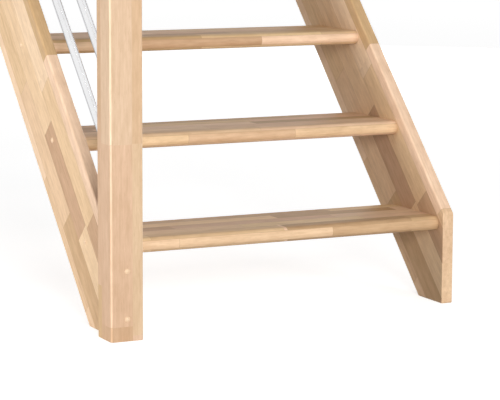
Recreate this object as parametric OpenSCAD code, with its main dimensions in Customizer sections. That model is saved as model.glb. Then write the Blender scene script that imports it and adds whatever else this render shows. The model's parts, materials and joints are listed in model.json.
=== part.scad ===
// Straight open-riser beech staircase, with a steel rod balustrade on its left side.
// Millimetres. +X runs across the flight to the right, +Y runs up the flight and +Z is up.
// The origin is the middle of the bottom newel's foot, on the floor.

/* [Flight] */
// Number of treads; the upper floor is one more rise above the last one
treads = 6; // [3:1:9]
// Height from one walking surface to the next
rise = 215; // [175:5:260]
// Level distance from one nose to the next
going = 210; // [175:5:260]
// Clear width between the two stringers
clear_width = 860; // [600:10:1200]

/* [Treads] */
// Depth of a tread from its nose to its back edge
tread_depth = 230; // [190:5:280]
// Thickness of a tread, whose front edge is fully rounded
tread_thickness = 35; // [28:1:45]
// How far the first nose stands behind the stringers' plumb front
nose_setback = 20; // [10:1:40]
// Gap between the last tread and the upper floor's trimmer
trimmer_gap = 5; // [3:1:20]
// Gap around the top newel where the last tread is notched for it
notch_gap = 1; // [0.5:0.5:3]

/* [Stringers] */
// Thickness of a stringer
stringer_thickness = 30; // [26:1:45]
// Wood above the noses, square to the slope
upper_margin = 23; // [15:1:40]
// Wood below the treads' back corners, square to the slope
lower_margin = 28; // [15:1:45]

/* [Newels] */
// Side of the square newels
newel_width = 80; // [66:1:100]
// Chamfer on the newels' corners and ends
newel_chamfer = 6; // [3:0.5:10]
// Height of a newel's top above the handrail, where they meet
newel_rise = 60; // [30:5:100]
// How far the top newel hangs below the stringer
newel_drop = 60; // [30:5:120]

/* [Balustrade] */
// Number of rods between the stringer and the handrail
rods = 4; // [3:1:5]
// Diameter of a rod
rod_diameter = 20; // [10:1:24]
// First rod's height above the stringer, square to the slope
first_rod = 115; // [90:5:140]
// Distance between rods, and from the last rod to the handrail, square to the slope
rod_spacing = 120; // [90:5:145]
// How far a rod reaches into each newel, measured level
rod_socket = 18; // [10:1:25]
// Clearance around and behind a rod in its socket
rod_fit = 0.2; // [0.1:0.05:0.4]
// Width of the handrail
handrail_width = 60; // [48:1:66]
// Height of the handrail, square to the slope
handrail_height = 42; // [36:1:60]
// Radius of the handrail's long edges
handrail_round = 14; // [4:1:17]

/* [Screw caps] */
// Diameter of a cap's dome
cap_diameter = 14; // [12:0.5:20]
// Height of the dome
cap_height = 3.5; // [2:0.1:5]
// Length of a cap's stem
cap_stem = 9; // [5:0.5:12]
// Diameter of the screw hole that a cap closes
screw_hole = 9; // [7:0.5:11]
// Depth of the screw hole
screw_hole_depth = 14; // [13:1:18]
// Clearance around a cap's stem
cap_fit = 0.1; // [0.05:0.05:0.3]
// Height of the lower cap on the bottom newel
low_cap = 51; // [35:1:80]
// Distance between the two caps on the bottom newel
cap_spacing = 110; // [70:5:130]

/* [Upper fixing] */
// Diameter of the bores for the hanger bolts that hold the flight to the trimmer
anchor_bore = 8; // [6:1:12]
// Depth of those bores
anchor_depth = 60; // [40:5:70]
// Depth of the upper bores below the upper floor
anchor_drop = 85; // [70:5:100]
// Distance between an upper bore and the one below it
anchor_spacing = 120; // [80:5:130]

/* [Hidden] */
$fn = 64;

beech = [0.87, 0.74, 0.59];
stainless = [0.76, 0.77, 0.78];
// Overshoot of a cut past the face that it opens
overshoot = 1;

slope = atan2(rise, going);
upper_floor = (treads + 1) * rise;
// Places up the flight: the stringers' plumb front, the first nose, the trimmer and the top newel's front
front = newel_width / 2;
first_nose = front + nose_setback;
trimmer = first_nose + (treads - 1) * going + tread_depth + trimmer_gap;
top_newel_front = trimmer - newel_width;
// Heights at which the sloping lines leave the plumb front
upper_edge = rise - nose_setback * tan(slope) + upper_margin / cos(slope);
lower_edge = rise - tread_thickness - (nose_setback + tread_depth) * tan(slope)
    - lower_margin / cos(slope);
handrail_line = upper_edge + (first_rod + rods * rod_spacing) / cos(slope);
handrail_half = handrail_height / 2 / cos(slope);
bottom_newel_top = handrail_line + handrail_half + newel_rise;
top_newel_foot = line_z(lower_edge, top_newel_front) - newel_drop;
top_newel_top = line_z(handrail_line + handrail_half, top_newel_front) + newel_rise;
// Sides of the flight
left_inside = stringer_thickness / 2;
right_inside = left_inside + clear_width;
right_middle = right_inside + stringer_thickness / 2;
cap_ball = (cap_height * cap_height + cap_diameter * cap_diameter / 4) / (2 * cap_height);

// Height, at a place up the flight, of the sloping line that leaves the plumb front at a given height
function line_z(height, y) = height + (y - front) * tan(slope);
// Place up the flight where that line reaches a level
function line_y(height, z) = front + (z - height) / tan(slope);
function nose(i) = first_nose + (i - 1) * going;
function rod_line(i) = upper_edge + (first_rod + (i - 1) * rod_spacing) / cos(slope);

// Elevation of a newel along +Y, with its corners cut at the top, and at the foot if it hangs free
module newel_elevation(foot, top, hangs) {
    half = newel_width / 2;
    cut = hangs ? newel_chamfer : 0;
    polygon([
        [-half, foot + cut], [-half + cut, foot], [half - cut, foot], [half, foot + cut],
        [half, top - newel_chamfer], [half - newel_chamfer, top],
        [-half + newel_chamfer, top], [-half, top - newel_chamfer]
    ]);
}

module newel_plan() {
    intersection() {
        square(newel_width, center = true);
        rotate(45) square(newel_width * sqrt(2) - newel_chamfer * sqrt(2), center = true);
    }
}

module newel(foot, top, hangs) {
    intersection() {
        translate([0, 0, foot]) linear_extrude(top - foot) newel_plan();
        rotate([90, 0, 0])
            linear_extrude(newel_width, center = true) newel_elevation(foot, top, hangs);
        rotate([90, 0, 90])
            linear_extrude(newel_width, center = true) newel_elevation(foot, top, hangs);
    }
}

// A rod between the newels; growth widens and lengthens it into the shape of its sockets
module rod_shape(i, growth = 0) {
    from = front - rod_socket;
    reach = (top_newel_front + rod_socket - from) / cos(slope);
    translate([0, from, line_z(rod_line(i), from)])
        rotate([slope - 90, 0, 0])
            translate([0, 0, -growth]) cylinder(r = rod_diameter / 2 + growth, h = reach + 2 * growth);
}

module rod_sockets() {
    for (i = [1 : rods]) rod_shape(i, rod_fit);
}

// Places its children on the bottom newel's front, looking out of it
module at_newel_cap(i) {
    translate([0, -newel_width / 2, low_cap + (i - 1) * cap_spacing]) rotate([90, 0, 0]) children();
}

// Places its children at the end of a tread, on the outside of the left (-1) or the right (1) stringer
module at_tread_cap(i, side) {
    x = side < 0 ? -stringer_thickness / 2 : right_inside + stringer_thickness;
    translate([x, nose(i) + tread_depth / 2, i * rise - tread_thickness / 2])
        rotate([0, side * 90, 0]) children();
}

// Places its children on both bores that face the trimmer, looking into the flight
module at_anchors(x) {
    for (drop = [anchor_drop, anchor_drop + anchor_spacing])
        translate([x, trimmer, upper_floor - drop]) rotate([90, 0, 0]) children();
}

module anchor_hole() {
    translate([0, 0, -overshoot]) cylinder(d = anchor_bore, h = anchor_depth + overshoot);
}

module cap_hole() {
    translate([0, 0, -screw_hole_depth]) cylinder(d = screw_hole, h = screw_hole_depth + overshoot);
}

// Domed cap whose stem plugs the screw hole; it sits on the face at z = 0
module screw_cap() {
    color(beech) {
        intersection() {
            translate([0, 0, cap_height - cap_ball]) sphere(cap_ball);
            cylinder(d = 2 * cap_diameter, h = cap_height + overshoot);
        }
        translate([0, 0, -cap_stem]) cylinder(d = screw_hole - 2 * cap_fit, h = cap_stem);
    }
}

// Side view of a stringer from its foot on the floor to a plumb cut, and cut level at the upper floor
module stringer_outline(end) {
    crest = min(line_z(upper_edge, end), upper_floor);
    polygon([
        [front, 0], [line_y(lower_edge, 0), 0], [end, line_z(lower_edge, end)],
        [end, crest], [line_y(upper_edge, crest), crest], [front, upper_edge]
    ]);
}

module stringer(middle, end) {
    translate([middle, 0, 0]) rotate([90, 0, 90])
        linear_extrude(stringer_thickness, center = true) stringer_outline(end);
}

module tread_outline() {
    radius = tread_thickness / 2;
    translate([radius, 0]) circle(radius);
    translate([radius, -radius]) square([tread_depth - radius, tread_thickness]);
}

module bottom_newel() {
    color(beech) difference() {
        newel(0, bottom_newel_top, false);
        rod_sockets();
        for (i = [1, 2]) at_newel_cap(i) cap_hole();
    }
}

module top_newel() {
    color(beech) difference() {
        translate([0, top_newel_front + newel_width / 2, 0]) newel(top_newel_foot, top_newel_top, true);
        rod_sockets();
        at_anchors(0) anchor_hole();
    }
}

module left_stringer() {
    color(beech) difference() {
        stringer(0, top_newel_front);
        for (i = [1 : treads]) at_tread_cap(i, -1) cap_hole();
    }
}

module right_stringer() {
    color(beech) difference() {
        stringer(right_middle, trimmer);
        for (i = [1 : treads]) at_tread_cap(i, 1) cap_hole();
        at_anchors(right_middle) anchor_hole();
    }
}

// The last tread is notched round the top newel, which is wider than the stringer
module tread(i) {
    color(beech) difference() {
        translate([left_inside, nose(i), i * rise - tread_thickness / 2]) rotate([90, 0, 90])
            linear_extrude(clear_width) tread_outline();
        if (i == treads)
            translate([0, top_newel_front - notch_gap, upper_floor - 2 * rise])
                cube([newel_width / 2 + notch_gap, newel_width + notch_gap, 2 * rise]);
    }
}

module rod(i) {
    color(stainless) rod_shape(i);
}

module handrail_section() {
    for (turn = [0, 1])
        square(turn == 0 ? [handrail_width, handrail_height - 2 * handrail_round]
            : [handrail_width - 2 * handrail_round, handrail_height], center = true);
    for (x = [-1, 1], y = [-1, 1])
        translate([x * (handrail_width / 2 - handrail_round), y * (handrail_height / 2 - handrail_round)])
            circle(handrail_round);
}

// The handrail is cut plumb against both newels
module handrail() {
    span = top_newel_front - front;
    color(beech) intersection() {
        translate([0, front, handrail_line]) rotate([slope - 90, 0, 0])
            translate([0, 0, -handrail_height])
                linear_extrude(span / cos(slope) + 2 * handrail_height) handrail_section();
        translate([-handrail_width, front, 0]) cube([2 * handrail_width, span, top_newel_top]);
    }
}

bottom_newel();
top_newel();
left_stringer();
right_stringer();
for (i = [1 : treads]) tread(i);
for (i = [1 : rods]) rod(i);
handrail();
for (i = [1, 2]) at_newel_cap(i) screw_cap();
for (i = [1 : treads]) at_tread_cap(i, -1) screw_cap();
for (i = [1 : treads]) at_tread_cap(i, 1) screw_cap();
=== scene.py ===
"""Looks of a straight open-riser beech staircase, with steel rods between its two newels.

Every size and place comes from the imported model, in metres: +X across the flight to the right, +Y up
the flight and +Z up, with the origin in the middle of the bottom newel's foot.
"""

import json
import logging
import math
from collections.abc import Iterable
from dataclasses import dataclass, field
from enum import Enum

import bmesh
import bpy
from mathutils import Euler, Matrix, Vector


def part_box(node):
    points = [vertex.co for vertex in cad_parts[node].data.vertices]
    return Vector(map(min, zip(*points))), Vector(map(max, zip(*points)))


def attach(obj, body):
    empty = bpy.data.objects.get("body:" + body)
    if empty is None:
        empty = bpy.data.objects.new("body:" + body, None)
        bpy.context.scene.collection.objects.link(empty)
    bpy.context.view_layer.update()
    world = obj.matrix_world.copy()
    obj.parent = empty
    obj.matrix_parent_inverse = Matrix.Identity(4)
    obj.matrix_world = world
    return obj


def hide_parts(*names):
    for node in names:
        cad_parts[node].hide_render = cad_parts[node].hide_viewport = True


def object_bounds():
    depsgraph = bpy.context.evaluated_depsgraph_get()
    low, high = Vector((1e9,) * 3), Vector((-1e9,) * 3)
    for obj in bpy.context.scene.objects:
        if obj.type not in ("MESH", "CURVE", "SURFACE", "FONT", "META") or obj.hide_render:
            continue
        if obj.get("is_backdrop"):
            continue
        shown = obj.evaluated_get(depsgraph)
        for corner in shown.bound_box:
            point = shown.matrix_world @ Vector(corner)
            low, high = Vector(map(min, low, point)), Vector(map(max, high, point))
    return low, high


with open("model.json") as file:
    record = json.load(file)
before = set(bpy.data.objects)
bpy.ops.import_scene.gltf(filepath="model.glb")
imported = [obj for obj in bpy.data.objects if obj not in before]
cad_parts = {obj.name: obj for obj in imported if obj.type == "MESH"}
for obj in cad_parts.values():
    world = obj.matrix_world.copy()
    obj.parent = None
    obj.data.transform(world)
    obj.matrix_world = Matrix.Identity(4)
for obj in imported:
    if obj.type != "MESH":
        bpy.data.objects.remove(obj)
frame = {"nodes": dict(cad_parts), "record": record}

CAD_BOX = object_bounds()
BODY = "root"
log = logging.getLogger("staircase")

Colour = tuple[float, float, float]


class Grain(Enum):
    """The axis of a board's own frame that its staves run along."""

    X = 0
    Y = 1
    Z = 2


class Side(Enum):
    """A side of the flight, as the direction that it faces along X."""

    LEFT = -1
    RIGHT = 1


class Slot(Enum):
    """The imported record's material slots."""

    BEECH = "beech"
    CAP = "cap_beech"
    STEEL = "stainless"


def vertices_at(node: str, axis: int, place: float, slack: float = 1e-5) -> list[Vector]:
    """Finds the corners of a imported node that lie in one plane.

    Args:
        node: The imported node's name.
        axis: The axis that the plane is square to.
        place: Where the plane crosses that axis.
        slack: How far a corner may lie from the plane.

    Returns:
        The positions of those corners.
    """
    mesh = frame["nodes"][node].data
    return [v.co.copy() for v in mesh.vertices if abs(v.co[axis] - place) < slack]


def numbered(prefix: str) -> list[str]:
    """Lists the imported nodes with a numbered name, in order.

    Args:
        prefix: The name up to the number.

    Returns:
        The nodes' names.
    """
    found = [name for name in frame["nodes"] if name.startswith(prefix) and name[len(prefix):].isdigit()]
    return sorted(found, key=lambda name: int(name[len(prefix):]))


@dataclass(frozen=True)
class Flight:
    """The flight's pitch and the planes that its boards meet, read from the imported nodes."""

    rise: float
    going: float
    front: float
    newel_back: float
    treads: list[str]

    @classmethod
    def from_frame(cls) -> "Flight":
        """Measures the flight.

        Returns:
            The flight's sizes.
        """
        treads = numbered("tread_")
        first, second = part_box(treads[0]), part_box(treads[1])
        return cls(
            rise=second[1].z - first[1].z,
            going=second[0].y - first[0].y,
            front=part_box("left_stringer")[0].y,
            newel_back=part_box("top_newel")[0].y,
            treads=treads,
        )

    @property
    def slope(self) -> float:
        """The pitch above level, in radians."""
        return math.atan2(self.rise, self.going)


# ---------------------------------------------------------------------------------------------------
# Finishes
# ---------------------------------------------------------------------------------------------------


class NodeSheet:
    """A short way to lay out and wire the nodes of one material."""

    def __init__(self, name: str) -> None:
        """Starts an empty material.

        Args:
            name: The material's name.
        """
        self.material = bpy.data.materials.new(name)
        self.material.use_nodes = True
        self.tree = self.material.node_tree
        self.tree.nodes.clear()
        self.column = 0

    def add(self, kind: str, inputs: dict | None = None, **settings: object) -> bpy.types.Node:
        """Adds a node.

        Args:
            kind: The node's type, without its ShaderNode prefix.
            inputs: Values or sockets for the node's inputs, by name or number.
            settings: The node's own properties.

        Returns:
            The new node.
        """
        node = self.tree.nodes.new("ShaderNode" + kind)
        node.location = (self.column, 0)
        self.column += 40
        for key, value in settings.items():
            setattr(node, key, value)
        for key, value in (inputs or {}).items():
            if isinstance(value, bpy.types.NodeSocket):
                self.tree.links.new(value, node.inputs[key])
            else:
                node.inputs[key].default_value = value
        return node

    def math(self, operation: str, *values: object, clamp: bool = False) -> bpy.types.NodeSocket:
        """Adds a Math node.

        Args:
            operation: The operation's name.
            values: Its inputs, as sockets or numbers.
            clamp: Whether the result is kept between 0 and 1.

        Returns:
            The node's result.
        """
        node = self.add("Math", dict(enumerate(values)), operation=operation, use_clamp=clamp)
        return node.outputs[0]

    def vector(self, x: object = 0.0, y: object = 0.0, z: object = 0.0) -> bpy.types.NodeSocket:
        """Joins three numbers or sockets to a vector and returns its socket."""
        return self.add("CombineXYZ", {0: x, 1: y, 2: z}).outputs[0]

    def remap(self, value: object, low: float, high: float, to_low: float, to_high: float,
              smooth: bool = False) -> bpy.types.NodeSocket:
        """Maps a range of a value onto another range, clamped.

        Args:
            value: The value's socket.
            low: The start of its range.
            high: The end of its range.
            to_low: What the start becomes.
            to_high: What the end becomes.
            smooth: Whether the ends are eased.

        Returns:
            The mapped value's socket.
        """
        node = self.add("MapRange", {0: value, 1: low, 2: high, 3: to_low, 4: to_high},
                        interpolation_type="SMOOTHSTEP" if smooth else "LINEAR")
        return node.outputs[0]

    def blend(self, factor: object, first: object, second: object, how: str = "MIX") -> bpy.types.NodeSocket:
        """Mixes two colours.

        Args:
            factor: How much of the second shows.
            first: The first colour or socket.
            second: The second colour or socket.
            how: The blend type.

        Returns:
            The mixed colour's socket.
        """
        node = self.add("Mix", data_type="RGBA", blend_type=how)
        for slot, value in ((0, factor), (6, first), (7, second)):
            if isinstance(value, bpy.types.NodeSocket):
                self.tree.links.new(value, node.inputs[slot])
            else:
                node.inputs[slot].default_value = (*value, 1.0) if isinstance(value, tuple) else value
        return node.outputs[2]

    def noise(self, vector: bpy.types.NodeSocket, scale: float, detail: float = 2.0,
              roughness: float = 0.5, distortion: float = 0.0) -> bpy.types.NodeSocket:
        """Adds a noise texture and returns its value's socket."""
        node = self.add("TexNoise", {"Vector": vector, "Scale": scale, "Detail": detail,
                                     "Roughness": roughness, "Distortion": distortion})
        return node.outputs[0]

    def ramp(self, value: bpy.types.NodeSocket, colours: list[Colour]) -> bpy.types.NodeSocket:
        """Spreads a few colours evenly over the values 0 to 1.

        Args:
            value: The value's socket.
            colours: The colours, from 0 to 1.

        Returns:
            The colour's socket.
        """
        node = self.add("ValToRGB", {0: value})
        stops = node.color_ramp.elements
        while len(stops) < len(colours):
            stops.new(0.5)
        for number, colour in enumerate(colours):
            stops[number].position = number / (len(colours) - 1)
        for number, colour in enumerate(colours):
            stops[number].color = (*colour, 1.0)
        return node.outputs[0]

    def finish(self, shader: bpy.types.NodeSocket) -> bpy.types.Material:
        """Wires the shader to the output and returns the material."""
        self.add("OutputMaterial", {0: shader})
        return self.material


@dataclass(frozen=True)
class Board:
    """How a glued board lies: a corner, its turn, and how its staves are laid out."""

    corner: tuple[float, float, float]
    turn: tuple[float, float, float] = (0.0, 0.0, 0.0)
    grain: Grain = Grain.X
    stave_width: float = 0.046
    stave_depth: float = 1.0
    stave_length: float = 0.34
    seed: float = 0.0
    shade: float = 0.0


@dataclass(frozen=True)
class BeechFinish:
    """Lacquered beech, glued from staves whose tints differ a little."""

    tints: tuple[Colour, ...] = (
        (0.560, 0.356, 0.204),
        (0.715, 0.482, 0.292),
        (0.800, 0.556, 0.354),
        (0.850, 0.606, 0.400),
        (0.900, 0.670, 0.470),
    )
    rosy: Colour = (1.0, 0.965, 1.01)
    golden: Colour = (1.0, 1.015, 0.87)
    fleck: Colour = (0.43, 0.25, 0.13)
    knot: Colour = (0.30, 0.15, 0.07)
    glue: Colour = (0.40, 0.24, 0.13)
    roughness: float = 0.48
    glue_line: float = 0.0005

    def axes(self, sheet: NodeSheet, board: Board) -> tuple[bpy.types.NodeSocket, ...]:
        """Turns Object coordinates into the board's own.

        Args:
            sheet: The material being made.
            board: How the board lies.

        Returns:
            Sockets for the distances along, across and through the staves.
        """
        place = sheet.add("TexCoord").outputs["Object"]
        turned = sheet.add("Mapping", {"Vector": place, "Location": board.corner, "Rotation": board.turn},
                           vector_type="TEXTURE").outputs[0]
        parts = sheet.add("SeparateXYZ", {0: turned}).outputs
        along = board.grain.value
        across, through = {0: (1, 2), 1: (2, 0), 2: (0, 1)}[along]
        return parts[along], parts[across], parts[through]

    def make(self, name: str, board: Board) -> bpy.types.Material:
        """Makes the finish for one board.

        Args:
            name: The material's name.
            board: How the board lies and how it is glued up.

        Returns:
            The material.
        """
        sheet = NodeSheet(name)
        along, across, through = self.axes(sheet, board)
        row_place = sheet.math("DIVIDE", across, board.stave_width)
        layer_place = sheet.math("DIVIDE", through, board.stave_depth)
        row = sheet.math("FLOOR", row_place)
        layer = sheet.math("FLOOR", layer_place)
        layer = sheet.math("ADD", layer, board.seed)
        row_chance = sheet.add("TexWhiteNoise", {0: sheet.vector(row, layer, board.seed * 0.37)},
                               noise_dimensions="3D").outputs[0]
        run = sheet.math("MULTIPLY_ADD", row_chance, 57.0, sheet.math("DIVIDE", along, board.stave_length))
        cell = sheet.add("TexVoronoi", {"W": run, "Scale": 1.0, "Randomness": 0.75},
                         voronoi_dimensions="1D").outputs
        end_gap = sheet.add("TexVoronoi", {"W": run, "Scale": 1.0, "Randomness": 0.75},
                            voronoi_dimensions="1D", feature="DISTANCE_TO_EDGE").outputs["Distance"]
        chance = sheet.add("TexWhiteNoise", {0: sheet.vector(cell["W"], row, layer)}, noise_dimensions="3D")
        tint_chance = chance.outputs[0]
        hue = sheet.add("SeparateXYZ", {0: chance.outputs[1]}).outputs

        # Each stave is cut from its own place in the log, so no figure runs on past a joint
        log_x = sheet.math("MULTIPLY_ADD", hue[0], 40.0, across)
        log_y = sheet.math("MULTIPLY_ADD", hue[1], 40.0, through)
        fibre = sheet.vector(sheet.math("MULTIPLY", along, 0.06), log_x, log_y)
        bands = sheet.noise(fibre, 95.0, detail=3.0, roughness=0.55)
        fibres = sheet.noise(fibre, 620.0, detail=2.0, roughness=0.6)
        streaks = sheet.noise(fibre, 260.0, detail=2.0, roughness=0.55)
        log = sheet.vector(sheet.math("MULTIPLY", along, 0.30), log_x, log_y)
        cloud = sheet.noise(log, 9.0, detail=2.0)
        mottle = sheet.noise(log, 85.0, detail=3.0, roughness=0.6)

        tint = sheet.math("ADD", tint_chance, board.shade, clamp=True)
        colour = sheet.ramp(tint, list(self.tints))
        warm = sheet.ramp(hue[2], [self.golden, (1.0, 1.0, 1.0), self.rosy])
        colour = sheet.blend(1.0, colour, warm, "MULTIPLY")
        figure = sheet.math("ADD", sheet.remap(bands, 0.30, 0.70, 0.935, 1.045),
                            sheet.remap(fibres, 0.30, 0.70, -0.028, 0.022))
        figure = sheet.math("ADD", figure, sheet.remap(cloud, 0.30, 0.70, -0.050, 0.040))
        figure = sheet.math("ADD", figure, sheet.remap(mottle, 0.30, 0.70, -0.070, 0.060))
        figure = sheet.math("ADD", figure, sheet.remap(streaks, 0.28, 0.72, -0.060, 0.040))
        shade = sheet.add("CombineColor", {0: figure, 1: sheet.math("POWER", figure, 1.25),
                                           2: sheet.math("POWER", figure, 1.55)}).outputs[0]
        colour = sheet.blend(1.0, colour, shade, "MULTIPLY")

        # Ray flecks: short dark dashes along the grain; pin knots: a few small dark eyes
        dash = sheet.vector(sheet.math("MULTIPLY", along, 0.16), log_x, log_y)
        dashes = sheet.add("TexVoronoi", {"Vector": dash, "Scale": 330.0, "Randomness": 1.0}).outputs
        fleck_size = sheet.remap(sheet.add("SeparateXYZ", {0: dashes["Color"]}).outputs[0], 0.45, 1.0, 0.0, 0.34)
        flecks = sheet.math("LESS_THAN", dashes["Distance"], fleck_size)
        colour = sheet.blend(sheet.math("MULTIPLY", flecks, 0.16), colour, self.fleck)
        eye = sheet.vector(sheet.math("MULTIPLY", along, 0.40), log_x, sheet.math("MULTIPLY", log_y, 0.1))
        eyes = sheet.add("TexVoronoi", {"Vector": eye, "Scale": 9.0, "Randomness": 1.0}).outputs
        rare = sheet.remap(sheet.add("SeparateXYZ", {0: eyes["Color"]}).outputs[1], 0.80, 1.0, 0.0, 0.045)
        knots = sheet.remap(sheet.math("SUBTRACT", rare, eyes["Distance"]), 0.0, 0.03, 0.0, 1.0, smooth=True)
        colour = sheet.blend(sheet.math("MULTIPLY", knots, 0.75), colour, self.knot)

        # Glue lines between rows, layers and the staves' ends
        side = sheet.math("PINGPONG", row_place, 0.5)
        side = sheet.math("MULTIPLY", side, board.stave_width)
        face = sheet.math("MULTIPLY", sheet.math("PINGPONG", layer_place, 0.5), board.stave_depth)
        ends = sheet.math("MULTIPLY", end_gap, board.stave_length)
        nearest = sheet.math("MINIMUM", sheet.math("MINIMUM", side, face), ends)
        seam = sheet.remap(nearest, self.glue_line * 0.5, self.glue_line * 1.6, 0.42, 0.0, smooth=True)
        colour = sheet.blend(seam, colour, self.glue)

        # Cut ends show one even tint across the staves, with the pores as dots
        facing = sheet.add("SeparateXYZ", {0: self.own_normal(sheet, board)}).outputs[board.grain.value]
        sawn = sheet.remap(sheet.math("ABSOLUTE", facing), 0.45, 0.65, 0.0, 0.8, smooth=True)
        plain = sheet.blend(1.0, self.tints[2], shade, "MULTIPLY")
        colour = sheet.blend(sawn, colour, plain)
        end_grain = sheet.remap(sheet.math("ABSOLUTE", facing), 0.55, 0.98, 0.0, 1.0, smooth=True)
        pores = sheet.noise(sheet.vector(sheet.math("MULTIPLY", along, 0.3), log_x, log_y), 900.0, detail=1.0)
        darker = sheet.remap(pores, 0.35, 0.65, 0.78, 0.93)
        dark = sheet.add("CombineColor", {0: darker, 1: darker, 2: darker}).outputs[0]
        colour = sheet.blend(end_grain, colour, sheet.blend(1.0, colour, dark, "MULTIPLY"))

        rough = sheet.math("ADD", sheet.remap(fibres, 0.3, 0.7, self.roughness - 0.05, self.roughness + 0.06),
                           sheet.math("MULTIPLY", end_grain, 0.12))
        relief = sheet.math("ADD", sheet.math("MULTIPLY", fibres, 0.6), sheet.math("MULTIPLY", seam, -1.0))
        bump = sheet.add("Bump", {"Strength": 0.18, "Distance": 0.0002, "Height": relief}).outputs[0]
        shader = sheet.add("BsdfPrincipled", {"Base Color": colour, "Roughness": rough, "Normal": bump,
                                              "IOR": 1.47, "Specular IOR Level": 0.22})
        return sheet.finish(shader.outputs[0])

    def own_normal(self, sheet: NodeSheet, board: Board) -> bpy.types.NodeSocket:
        """Gives the surface's direction in the board's own frame."""
        normal = sheet.add("TexCoord").outputs["Normal"]
        return sheet.add("Mapping", {"Vector": normal, "Rotation": board.turn},
                         vector_type="TEXTURE").outputs[0]


@dataclass(frozen=True)
class TurnedBeech:
    """A small turned plug of plain light beech, with the grain across its face."""

    light: Colour = (0.84, 0.62, 0.42)
    dark: Colour = (0.75, 0.52, 0.33)
    roughness: float = 0.42

    def make(self, name: str) -> bpy.types.Material:
        """Makes the finish.

        Args:
            name: The material's name.

        Returns:
            The material.
        """
        sheet = NodeSheet(name)
        place = sheet.add("TexCoord").outputs["Object"]
        parts = sheet.add("SeparateXYZ", {0: place}).outputs
        grain = sheet.vector(parts[0], parts[1], sheet.math("MULTIPLY", parts[2], 0.12))
        lines = sheet.noise(grain, 520.0, detail=3.0, roughness=0.6)
        colour = sheet.ramp(sheet.remap(lines, 0.3, 0.7, 0.0, 1.0), [self.dark, self.light])
        rough = sheet.remap(lines, 0.3, 0.7, self.roughness + 0.06, self.roughness - 0.04)
        bump = sheet.add("Bump", {"Strength": 0.12, "Distance": 0.0002, "Height": lines}).outputs[0]
        shader = sheet.add("BsdfPrincipled", {"Base Color": colour, "Roughness": rough, "Normal": bump,
                                              "IOR": 1.47, "Specular IOR Level": 0.35})
        return sheet.finish(shader.outputs[0])


@dataclass(frozen=True)
class GroundSteel:
    """Stainless steel tube, ground round its girth and then polished; its near-black edge tint paints dark
    reflections along its sides where they are seen at a glancing angle.
    """

    bright: Colour = (0.90, 0.90, 0.905)
    dull: Colour = (0.80, 0.80, 0.81)
    # Edge tint: painted dark reflection, far darker than real steel at a glancing angle, so the rods' sides show
    # dark lines
    edge: Colour = (0.12, 0.12, 0.13)
    roughness: float = 0.20

    def make(self, name: str, slope: float) -> bpy.types.Material:
        """Makes the finish.

        Args:
            name: The material's name.
            slope: The rods' pitch, which the grinding marks are square to.

        Returns:
            The material.
        """
        sheet = NodeSheet(name)
        place = sheet.add("TexCoord").outputs["Object"]
        turned = sheet.add("Mapping", {"Vector": place, "Rotation": (slope, 0.0, 0.0)},
                           vector_type="TEXTURE").outputs[0]
        parts = sheet.add("SeparateXYZ", {0: turned}).outputs
        girth = sheet.vector(sheet.math("MULTIPLY", parts[0], 0.15), parts[1],
                             sheet.math("MULTIPLY", parts[2], 0.15))
        marks = sheet.noise(girth, 1500.0, detail=3.0, roughness=0.7)
        cloud = sheet.noise(girth, 18.0, detail=2.0)
        tone = sheet.math("ADD", sheet.math("MULTIPLY", marks, 0.6), sheet.math("MULTIPLY", cloud, 0.4))
        colour = sheet.ramp(sheet.remap(tone, 0.35, 0.65, 0.0, 1.0), [self.dull, self.bright])
        rough = sheet.remap(tone, 0.35, 0.65, self.roughness + 0.07, self.roughness - 0.04)
        bump = sheet.add("Bump", {"Strength": 0.03, "Distance": 0.0001, "Height": marks}).outputs[0]
        # The dark edge tint paints dark reflection lines along the rods' sides
        shader = sheet.add("BsdfPrincipled", {"Base Color": colour, "Roughness": rough, "Normal": bump,
                                              "Metallic": 1.0, "Specular Tint": (*self.edge, 1.0)})
        return sheet.finish(shader.outputs[0])


# ---------------------------------------------------------------------------------------------------
# Shaping
# ---------------------------------------------------------------------------------------------------


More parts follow.
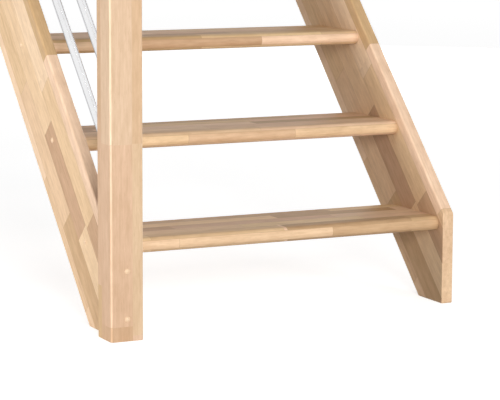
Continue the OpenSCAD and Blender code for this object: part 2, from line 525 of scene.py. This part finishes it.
@dataclass
class Workpiece:
    """A solid that is being shaped, and that becomes one piece of the staircase."""

    name: str
    bm: bmesh.types.BMesh = field(default_factory=bmesh.new)

    def plank(self, outline: Iterable[Vector], thickness: Vector) -> "Workpiece":
        """Extrudes a flat outline to a board.

        Args:
            outline: The outline's corners, in order.
            thickness: The direction and distance of the extrusion.

        Returns:
            The workpiece.
        """
        corners = [self.bm.verts.new(corner) for corner in outline]
        bottom = self.bm.faces.new(corners)
        grown = bmesh.ops.extrude_face_region(self.bm, geom=[bottom], use_keep_orig=True)
        lifted = [item for item in grown["geom"] if isinstance(item, bmesh.types.BMVert)]
        bmesh.ops.translate(self.bm, verts=lifted, vec=thickness)
        bmesh.ops.recalc_face_normals(self.bm, faces=self.bm.faces)
        return self

    def block(self, low: Vector, high: Vector) -> "Workpiece":
        """Starts from a block between two corners and returns the workpiece."""
        size = high - low
        shape = Matrix.Translation((low + high) / 2) @ Matrix.Diagonal((*size, 1.0))
        bmesh.ops.create_cube(self.bm, size=1.0, matrix=shape)
        return self

    def edges_where(self, test) -> list[bmesh.types.BMEdge]:
        """Picks the edges whose two ends pass a test.

        Args:
            test: Takes the two ends' positions and says whether the edge is wanted.

        Returns:
            The edges.
        """
        return [edge for edge in self.bm.edges if test(edge.verts[0].co, edge.verts[1].co)]

    def sharp_edges(self, least: float = 30.0) -> list[bmesh.types.BMEdge]:
        """Picks the edges that turn by more than an angle, in degrees."""
        limit = math.radians(least)
        return [edge for edge in self.bm.edges if edge.calc_face_angle(0.0) > limit]

    def round_over(self, edges: list[bmesh.types.BMEdge], radius: float, steps: int) -> "Workpiece":
        """Rounds edges, or chamfers them with one step.

        Args:
            edges: The edges.
            radius: The rounding's radius, or the chamfer's width along each face.
            steps: The number of flats across it.

        Returns:
            The workpiece.
        """
        bmesh.ops.bevel(self.bm, geom=edges, offset=radius, offset_type="OFFSET", segments=steps,
                        profile=0.5, affect="EDGES", clamp_overlap=True, material=-1)
        return self

    def cut(self, place: Vector, away: Vector) -> "Workpiece":
        """Saws the piece along a plane, drops the side that the plane faces and closes the cut.

        Args:
            place: A point in the plane.
            away: The plane's normal, towards the waste.

        Returns:
            The workpiece.
        """
        everything = [*self.bm.verts, *self.bm.edges, *self.bm.faces]
        sawn = bmesh.ops.bisect_plane(self.bm, geom=everything, plane_co=place, plane_no=away, clear_outer=True)
        rim = [item for item in sawn["geom_cut"] if isinstance(item, bmesh.types.BMEdge)]
        bmesh.ops.holes_fill(self.bm, edges=rim, sides=0)
        return self

    def finish(self, material: bpy.types.Material, slot: Slot, stands_for: list[str],
               bores: "list[Bore] | None" = None) -> bpy.types.Object:
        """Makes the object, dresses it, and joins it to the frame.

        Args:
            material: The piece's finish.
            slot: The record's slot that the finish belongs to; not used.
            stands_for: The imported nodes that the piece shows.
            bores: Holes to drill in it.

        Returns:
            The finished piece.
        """
        for face in self.bm.faces:
            face.smooth = True
        for edge in self.bm.edges:
            edge.smooth = edge.calc_face_angle(0.0) < math.radians(40.0)
        mesh = bpy.data.meshes.new(self.name)
        self.bm.to_mesh(mesh)
        self.bm.free()
        piece = bpy.data.objects.new(self.name, mesh)
        bpy.context.scene.collection.objects.link(piece)
        if bores:
            drill(piece, bores)
        piece.data.materials.clear()
        piece.data.materials.append(material)
        weighted = piece.modifiers.new("Flat faces stay flat", "WEIGHTED_NORMAL")
        weighted.keep_sharp = True
        weighted.weight = 100
        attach(piece, BODY)
        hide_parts(*stands_for)
        return piece


@dataclass(frozen=True)
class Bore:
    """A round hole, from its bottom to past its mouth."""

    bottom: Vector
    mouth: Vector
    radius: float
    steps: int = 40


def rod_matrix(start: Vector, end: Vector) -> Matrix:
    """Gives the transform that lays a shape made along Z between two points, centred on them."""
    turn = (end - start).to_track_quat("Z", "Y").to_matrix().to_4x4()
    return Matrix.Translation((start + end) / 2) @ turn


def drill(piece: bpy.types.Object, bores: list[Bore]) -> None:
    """Cuts round holes in a piece.

    Args:
        piece: The piece, whose mesh is replaced by the drilled one.
        bores: The holes.
    """
    bm = bmesh.new()
    for bore in bores:
        bmesh.ops.create_cone(bm, cap_ends=True, segments=bore.steps, radius1=bore.radius, radius2=bore.radius,
                              depth=(bore.mouth - bore.bottom).length, matrix=rod_matrix(bore.bottom, bore.mouth))
    mesh = bpy.data.meshes.new("drill")
    bm.to_mesh(mesh)
    bm.free()
    tool = bpy.data.objects.new("drill", mesh)
    bpy.context.scene.collection.objects.link(tool)
    cut = piece.modifiers.new("Bores", "BOOLEAN")
    cut.operation, cut.solver, cut.object = "DIFFERENCE", "EXACT", tool
    drilled = bpy.data.meshes.new_from_object(piece.evaluated_get(bpy.context.evaluated_depsgraph_get()))
    piece.modifiers.clear()
    piece.data = drilled
    drilled.name = piece.name
    bpy.data.objects.remove(tool)


# ---------------------------------------------------------------------------------------------------
# The staircase's sub-assemblies
# ---------------------------------------------------------------------------------------------------


@dataclass
class Treads:
    """The treads: glued boards with a fully rounded front, butted between the stringers."""

    flight: Flight
    finish: BeechFinish
    arris: float = 0.0018
    end_arris: float = 0.0012
    nose_steps: int = 18
    stave_width: float = 0.046
    pieces: list[bpy.types.Object] = field(default_factory=list)

    def outline(self, node: str) -> list[Vector]:
        """Reads a tread's plan, with its notch if it has one.

        Args:
            node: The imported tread.

        Returns:
            The plan's corners at the tread's underside, anticlockwise.
        """
        low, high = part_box(node)
        back = vertices_at(node, 1, high.y)
        notch_side = min(v.x for v in back)
        corners = [Vector((low.x, low.y, low.z)), Vector((high.x, low.y, low.z)), Vector((high.x, high.y, low.z))]
        if notch_side - low.x > self.end_arris:
            left = vertices_at(node, 0, low.x)
            notch_front = max(v.y for v in left)
            corners.append(Vector((notch_side, high.y, low.z)))
            corners.append(Vector((notch_side, notch_front, low.z)))
            corners.append(Vector((low.x, notch_front, low.z)))
        else:
            corners.append(Vector((low.x, high.y, low.z)))
        return corners

    def board(self, number: int, node: str) -> Board:
        """Lays the staves of one tread from its nose to its back, each tread in its own order."""
        low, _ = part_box(node)
        return Board(corner=(low.x, low.y + 0.004, low.z - 0.3), grain=Grain.X, stave_width=self.stave_width,
                     stave_length=0.36, seed=15.0 + 7.0 * number, shade=-0.12)

    def build(self) -> None:
        """Makes every tread."""
        for number, node in enumerate(self.flight.treads):
            low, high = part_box(node)
            thickness = high.z - low.z
            work = Workpiece(f"beech_{node}").plank(self.outline(node), Vector((0.0, 0.0, thickness)))
            front = work.edges_where(
                lambda a, b, y=low.y: abs(a.y - y) < 1e-5 and abs(b.y - y) < 1e-5 and abs(a.x - b.x) > thickness)
            work.round_over(front, thickness / 2 - 1e-5, self.nose_steps)
            back = work.edges_where(
                lambda a, b, y=low.y + thickness: min(a.y, b.y) > y and abs(a.x - b.x) > thickness)
            work.round_over(back, self.arris, 3)
            ends = [edge for edge in work.sharp_edges(60.0)
                    if abs(edge.verts[0].co.x - edge.verts[1].co.x) < self.end_arris]
            work.round_over(ends, self.end_arris, 2)
            material = self.finish.make(f"beech {node}", self.board(number, node))
            self.pieces.append(work.finish(material, Slot.BEECH, [node]))


@dataclass
class Stringers:
    """The two sloping boards that carry the treads."""

    flight: Flight
    finish: BeechFinish
    upper_round: float = 0.0055
    arris: float = 0.0022
    stave_width: float = 0.061
    first_stave: float = 0.028
    pieces: list[bpy.types.Object] = field(default_factory=list)

    def outline(self, node: str) -> list[Vector]:
        """Reads a stringer's side view on its left face.

        Args:
            node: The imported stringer.

        Returns:
            The side view's corners, from the foot round under the board to the plumb front.
        """
        low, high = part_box(node)
        front = vertices_at(node, 1, low.y)
        foot = vertices_at(node, 2, low.z)
        head = vertices_at(node, 1, high.y)
        crest = vertices_at(node, 2, high.z)
        places = [
            (low.y, low.z),
            (max(v.y for v in foot), low.z),
            (high.y, min(v.z for v in head)),
            (high.y, max(v.z for v in head)),
            (low.y, max(v.z for v in front)),
        ]
        if max(v.y for v in crest) - min(v.y for v in crest) > self.arris:
            places.insert(4, (min(v.y for v in crest), high.z))
        return [Vector((low.x, y, z)) for y, z in places]

    def bores(self, node: str) -> list[Bore]:
        """Finds the hanger-bolt bores in a stringer's head.

        Args:
            node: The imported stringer.

        Returns:
            The bores, or none where the head meets a newel.
        """
        return bolt_bores(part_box(node))

    def build(self) -> None:
        """Makes both stringers, glued up as a pair so that their staves mirror each other."""
        slope = self.flight.slope
        for node in ("left_stringer", "right_stringer"):
            low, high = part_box(node)
            outline = self.outline(node)
            work = Workpiece(f"beech_{node}").plank(outline, Vector((high.x - low.x, 0.0, 0.0)))
            along = Vector((0.0, math.cos(slope), math.sin(slope)))
            top = outline[-1]
            upper = work.edges_where(
                lambda a, b: (a - b).length > 0.2 and abs((a - b).normalized().dot(along)) > 0.999
                and abs((a - Vector((a.x, top.y, top.z))).cross(along).length) < 1e-4)
            work.round_over(upper, self.upper_round, 5)
            work.round_over(work.sharp_edges(25.0), self.arris, 3)
            across = Vector((0.0, -math.sin(slope), math.cos(slope)))
            corner = top - across * self.first_stave
            board = Board(corner=(corner.x - 0.3, corner.y, corner.z), turn=(slope, 0.0, 0.0), grain=Grain.Y,
                          stave_width=self.stave_width, stave_length=0.42, seed=37.0)
            material = self.finish.make(f"beech {node}", board)
            self.pieces.append(work.finish(material, Slot.BEECH, [node], self.bores(node)))


def bolt_bores(box: tuple[Vector, Vector]) -> list[Bore]:
    """Finds the hanger-bolt bores that open in the back of a piece.

    Args:
        box: The piece's lowest and highest corners.

    Returns:
        The bores of the record's bolt patterns that lie in that back.
    """
    depth, found = 0.060, []
    for mount in frame["record"]["mounts"]:
        place = Vector(mount["pos_m"])
        if mount["kind"] != "bolt_pattern" or abs(place.y - box[1].y) > 1e-4:
            continue
        if not box[0].x < place.x < box[1].x:
            continue
        for side in (-0.5, 0.5):
            mouth = place + Vector((0.0, 0.0, side * mount["dims"]["spacing_y_mm"] / 1000))
            found.append(Bore(mouth - Vector((0.0, depth, 0.0)), mouth + Vector((0.0, 0.002, 0.0)),
                              mount["dims"]["hole_r_mm"] / 1000))
    return found


@dataclass
class Balustrade:
    """The newels, and the rods and the handrail between them."""

    flight: Flight
    beech: BeechFinish
    steel: GroundSteel
    chamfer: float = 0.004
    soft: float = 0.0009
    rail_arris: float = 0.0012
    socket_fit: float = 0.0002
    rod_steps: int = 56
    wide_stave: float = 0.0534
    pieces: list[bpy.types.Object] = field(default_factory=list)

    @property
    def along(self) -> Vector:
        """The direction up the slope."""
        return Vector((0.0, math.cos(self.flight.slope), math.sin(self.flight.slope)))

    def rod_line(self, node: str) -> tuple[Vector, Vector, float]:
        """Reads where a rod's axis runs.

        Args:
            node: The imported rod.

        Returns:
            The axis's two ends and the rod's radius.
        """
        low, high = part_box(node)
        radius = (high.x - low.x) / 2
        length = (high.y - low.y - 2 * radius * self.along.z) / self.along.y
        middle = (low + high) / 2
        return middle - self.along * length / 2, middle + self.along * length / 2, radius

    def sockets(self) -> list[Bore]:
        """Finds the holes that take the rods, as long as the rods and a little wider."""
        found = []
        for node in numbered("rod_"):
            start, end, radius = self.rod_line(node)
            fit = self.along * self.socket_fit
            found.append(Bore(start - fit, end + fit, radius + self.socket_fit, self.rod_steps))
        return found

    def newel(self, node: str, hangs: bool, board: Board) -> None:
        """Makes a newel.

        Args:
            node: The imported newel.
            hangs: Whether its foot is free and chamfered as its top is.
            board: How its staves are laid.
        """
        low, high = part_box(node)
        work = Workpiece(f"beech_{node}").block(low, high)
        upright = work.edges_where(lambda a, b: abs(a.z - b.z) > 0.1)
        work.round_over(upright, self.chamfer, 1)
        ends = work.edges_where(
            lambda a, b: abs(a.z - b.z) < 1e-6 and (a.z > low.z + 0.1 or hangs))
        work.round_over(ends, self.chamfer, 1)
        work.round_over(work.sharp_edges(25.0), self.soft, 2)
        bores = self.sockets() + bolt_bores((low, high))
        material = self.beech.make(f"beech {node}", board)
        self.pieces.append(work.finish(material, Slot.BEECH, [node], bores))

    def newels(self) -> None:
        """Makes both newels, each glued from a wide and a narrow stave each way."""
        for node, hangs, seed in (("bottom_newel", False, 2.0), ("top_newel", True, 11.0)):
            low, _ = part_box(node)
            board = Board(corner=(low.x, low.y, low.z), grain=Grain.Z, stave_width=self.wide_stave,
                          stave_depth=self.wide_stave, stave_length=0.40, seed=seed, shade=0.28)
            self.newel(node, hangs, board)

    def handrail(self) -> None:
        """Makes the handrail: a rounded bar, sawn plumb against both newels."""
        node = "handrail"
        low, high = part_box(node)
        slope = self.flight.slope
        width = high.x - low.x
        run = high.y - low.y
        height = (high.z - low.z - run * math.tan(slope)) * math.cos(slope)
        half = run / math.cos(slope) / 2 + height
        size = Vector((width, 2 * half, height))
        work = Workpiece("beech_handrail").block(-size / 2, size / 2)
        work.round_over(work.edges_where(lambda a, b: abs(a.y - b.y) > half), self.rail_round(node), 9)
        lie = Matrix.Translation((low + high) / 2) @ Matrix.Rotation(slope, 4, "X")
        bmesh.ops.transform(work.bm, matrix=lie, verts=work.bm.verts)
        work.cut(Vector((0.0, low.y, 0.0)), Vector((0.0, -1.0, 0.0)))
        work.cut(Vector((0.0, high.y, 0.0)), Vector((0.0, 1.0, 0.0)))
        board = Board(corner=(low.x + 0.010, low.y, low.z), turn=(slope, 0.0, 0.0), grain=Grain.Y,
                      stave_width=0.3, stave_depth=0.040, stave_length=0.55, seed=23.0, shade=0.1)
        material = self.beech.make("beech handrail", board)
        self.pieces.append(work.finish(material, Slot.BEECH, [node]))

    def rail_round(self, node: str) -> float:
        """Reads the radius of the handrail's long edges from its plumb end."""
        low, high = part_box(node)
        end = vertices_at(node, 1, low.y)
        return high.x - max(v.x for v in end if abs(v.z - max(w.z for w in end)) < 1e-5)

    def rods(self) -> None:
        """Makes the rods."""
        material = self.steel.make("ground stainless steel", self.flight.slope)
        for node in numbered("rod_"):
            start, end, radius = self.rod_line(node)
            work = Workpiece(f"steel_{node}")
            bmesh.ops.create_cone(work.bm, cap_ends=True, segments=self.rod_steps, radius1=radius, radius2=radius,
                                  depth=(end - start).length, matrix=rod_matrix(start, end))
            work.round_over(work.sharp_edges(60.0), 0.0006, 2)
            self.pieces.append(work.finish(material, Slot.STEEL, [node]))

    def build(self) -> None:
        """Makes the newels, the handrail and the rods."""
        self.newels()
        self.handrail()
        self.rods()


@dataclass
class ScrewCaps:
    """The domed beech caps over the screws in the bottom newel and in both stringers."""

    finish: TurnedBeech
    steps: int = 40
    rim: float = 0.0005
    pieces: list[bpy.types.Object] = field(default_factory=list)

    def cap(self, node: str, out: Vector, material: bpy.types.Material) -> None:
        """Makes one cap.

        Args:
            node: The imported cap.
            out: The direction that its dome faces.
            material: The cap's finish.
        """
        low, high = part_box(node)
        size = high - low
        along = max(range(3), key=lambda axis: abs(out[axis]))
        radius = max(size[axis] for axis in range(3) if axis != along) / 2
        stem = min(vertices_spread(node, along, (low if out[along] > 0 else high)[along])) / 2
        middle = (low + high) / 2
        tip = middle + out * size[along] / 2
        height = size[along] - self.stem_length(node, along, out, radius)
        ball = (height * height + radius * radius) / (2 * height)
        work = Workpiece(f"beech_{node}")
        bmesh.ops.create_uvsphere(work.bm, u_segments=self.steps, v_segments=self.steps * 2, radius=ball)
        work.cut(Vector((0.0, 0.0, ball - height)), Vector((0.0, 0.0, -1.0)))
        base = min(work.bm.faces, key=lambda face: face.calc_center_median().z)
        bmesh.ops.inset_region(work.bm, faces=[base], thickness=radius - stem, use_even_offset=True)
        grown = bmesh.ops.extrude_discrete_faces(work.bm, faces=[base])
        bmesh.ops.translate(work.bm, verts=grown["faces"][0].verts, vec=(0.0, 0.0, height - size[along]))
        bmesh.ops.translate(work.bm, verts=work.bm.verts, vec=(0.0, 0.0, -ball))
        turn = out.to_track_quat("Z", "Y").to_matrix().to_4x4()
        bmesh.ops.transform(work.bm, matrix=Matrix.Translation(tip) @ turn, verts=work.bm.verts)
        self.pieces.append(work.finish(material, Slot.CAP, [node]))

    def stem_length(self, node: str, along: int, out: Vector, radius: float) -> float:
        """Reads how far a cap's stem reaches behind its dome."""
        low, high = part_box(node)
        middle = (low + high) / 2
        wide = [v.co[along] for v in frame["nodes"][node].data.vertices
                if max(abs(v.co[axis] - middle[axis]) for axis in range(3) if axis != along) > radius * 0.98]
        back = low[along] if out[along] > 0 else high[along]
        return abs(wide[0] - back)

    def build(self) -> None:
        """Makes every cap."""
        material = self.finish.make("turned beech")
        for node in numbered("newel_cap_"):
            self.cap(node, Vector((0.0, -1.0, 0.0)), material)
        for side, prefix in ((Side.LEFT, "left_cap_"), (Side.RIGHT, "right_cap_")):
            for node in numbered(prefix):
                self.cap(node, Vector((side.value, 0.0, 0.0)), material)


def vertices_spread(node: str, axis: int, place: float) -> tuple[float, float]:
    """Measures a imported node's cross-section in one plane.

    Args:
        node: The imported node.
        axis: The axis that the plane is square to.
        place: Where the plane crosses that axis.

    Returns:
        The section's sizes along the two other axes.
    """
    found = vertices_at(node, axis, place)
    others = [other for other in range(3) if other != axis]
    return tuple(max(v[other] for v in found) - min(v[other] for v in found) for other in others)


# ---------------------------------------------------------------------------------------------------
# The studio
# ---------------------------------------------------------------------------------------------------


@dataclass(frozen=True)
class Softbox:
    """A large lamp that faces the staircase from a distance."""

    name: str
    azimuth: float
    elevation: float
    distance: float
    size: float
    level: float
    colour: Colour = (1.0, 1.0, 1.0)

    def place(self, aim: Vector) -> None:
        """Hangs the lamp so that a surface square to it at the aim is lit at its level.

        Args:
            aim: The point that it faces.
        """
        lamp = bpy.data.lights.new(self.name, "AREA")
        lamp.shape, lamp.size, lamp.color = "SQUARE", self.size, self.colour
        lamp.energy = self.level * math.pi**2 * self.distance**2
        turn, lift = math.radians(self.azimuth), math.radians(self.elevation)
        back = Vector((-math.sin(turn) * math.cos(lift), -math.cos(turn) * math.cos(lift), math.sin(lift)))
        holder = bpy.data.objects.new(self.name, lamp)
        holder.location = aim + back * self.distance
        holder.rotation_euler = (-back).to_track_quat("-Z", "Y").to_euler()
        bpy.context.scene.collection.objects.link(holder)


@dataclass(frozen=True)
class Studio:
    """A white floor and surroundings, lit from the front and from the left."""

    aim: Vector = Vector((0.40, 0.40, 0.80))
    ambient: float = 0.20
    floor_half: float = 30.0
    glow: tuple[float, float] = (0.735, 0.86)
    glow_reach: tuple[float, float] = (2.0, 12.0)
    lamps: tuple[Softbox, ...] = (
        Softbox("key softbox", 15.0, 13.0, 8.0, 2.0, 0.53),
        Softbox("fill softbox", -15.0, 9.0, 8.0, 2.4, 0.36),
        Softbox("left softbox", 90.0, 1.0, 8.0, 1.2, 0.59),
        Softbox("back softbox", 222.0, 0.0, 8.0, 1.5, 0.22),
    )

    def seen(self, sheet: NodeSheet) -> bpy.types.NodeSocket:
        """Says whether a ray comes from the camera, or from metal or glass that it sees."""
        path = sheet.add("LightPath").outputs
        direct = sheet.math("MAXIMUM", path["Is Camera Ray"], path["Is Glossy Ray"])
        return sheet.math("MAXIMUM", direct, path["Is Transmission Ray"])

    def floor(self) -> None:
        """Lays the floor, which is white with the staircase's soft shadow on it."""
        bm = bmesh.new()
        bmesh.ops.create_grid(bm, x_segments=1, y_segments=1, size=self.floor_half)
        mesh = bpy.data.meshes.new("floor")
        bm.to_mesh(mesh)
        bm.free()
        sheet = NodeSheet("white floor")
        matt = sheet.add("BsdfDiffuse", {"Color": (0.65, 0.65, 0.65, 1.0)}).outputs[0]
        away = sheet.add("VectorMath", {0: sheet.add("TexCoord").outputs["Object"]}, operation="LENGTH")
        level = sheet.remap(away.outputs["Value"], *self.glow_reach, *self.glow)
        glow = sheet.add("Emission", {"Strength": sheet.math("MULTIPLY", self.seen(sheet), level)})
        mesh.materials.append(sheet.finish(sheet.add("AddShader", {0: matt, 1: glow.outputs[0]}).outputs[0]))
        floor = bpy.data.objects.new("floor", mesh)
        bpy.context.scene.collection.objects.link(floor)
        floor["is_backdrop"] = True

    def surroundings(self) -> None:
        """Makes the world white where it is seen and an even fill light elsewhere."""
        world = bpy.data.worlds.new("studio")
        bpy.context.scene.world = world
        world.use_nodes = True
        nodes, links = world.node_tree.nodes, world.node_tree.links
        path = nodes.new("ShaderNodeLightPath")
        strength = nodes["Background"].inputs["Strength"]
        either = path.outputs["Is Camera Ray"]
        for ray in ("Is Glossy Ray", "Is Transmission Ray"):
            most = nodes.new("ShaderNodeMath")
            most.operation = "MAXIMUM"
            links.new(either, most.inputs[0])
            links.new(path.outputs[ray], most.inputs[1])
            either = most.outputs[0]
        level = nodes.new("ShaderNodeMapRange")
        links.new(either, level.inputs["Value"])
        level.inputs["To Min"].default_value = self.ambient
        links.new(level.outputs[0], strength)
        nodes["Background"].inputs["Color"].default_value = (1.0, 1.0, 1.0, 1.0)

    def build(self) -> None:
        """Sets up the whole studio."""
        self.floor()
        self.surroundings()
        for lamp in self.lamps:
            lamp.place(self.aim)
        bpy.context.scene.view_settings.view_transform = "Standard"


@dataclass(frozen=True)
class Viewpoint:
    """A long lens, low in front of the flight and to its left."""

    place: Vector = Vector((-1.8905, -4.5235, 1.0531))
    yaw: float = 26.114
    pitch: float = 8.518
    roll: float = 0.238
    lens: float = 157.67
    sensor: float = 36.0

    def build(self) -> None:
        """Makes the camera."""
        data = bpy.data.cameras.new("viewpoint")
        data.lens, data.sensor_width, data.sensor_fit = self.lens, self.sensor, "HORIZONTAL"
        data.clip_start, data.clip_end = 0.05, 200.0
        camera = bpy.data.objects.new("viewpoint", data)
        camera.location = self.place
        aimed = Euler((math.radians(90.0 - self.pitch), 0.0, -math.radians(self.yaw))).to_matrix()
        camera.rotation_euler = (aimed @ Matrix.Rotation(math.radians(self.roll), 3, "Z")).to_euler()
        bpy.context.scene.collection.objects.link(camera)
        bpy.context.scene.camera = camera


def main() -> None:
    """Builds the staircase, its studio and the camera, and reports each piece."""
    logging.basicConfig(level=logging.INFO, format="%(name)s: %(message)s")
    flight = Flight.from_frame()
    beech = BeechFinish()
    assemblies = (
        Stringers(flight, beech),
        Treads(flight, beech),
        Balustrade(flight, beech, GroundSteel()),
        ScrewCaps(TurnedBeech()),
    )
    for assembly in assemblies:
        assembly.build()
        for piece in assembly.pieces:
            log.info("%s: %s, %d faces", type(assembly).__name__, piece.name, len(piece.data.polygons))
    Studio().build()
    Viewpoint().build()
    boxes = {"cad": [list(corner) for corner in CAD_BOX], "visual": [list(corner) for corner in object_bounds()]}
    log.info("visual box %s", boxes["visual"])


if __name__ == "__main__":
    main()
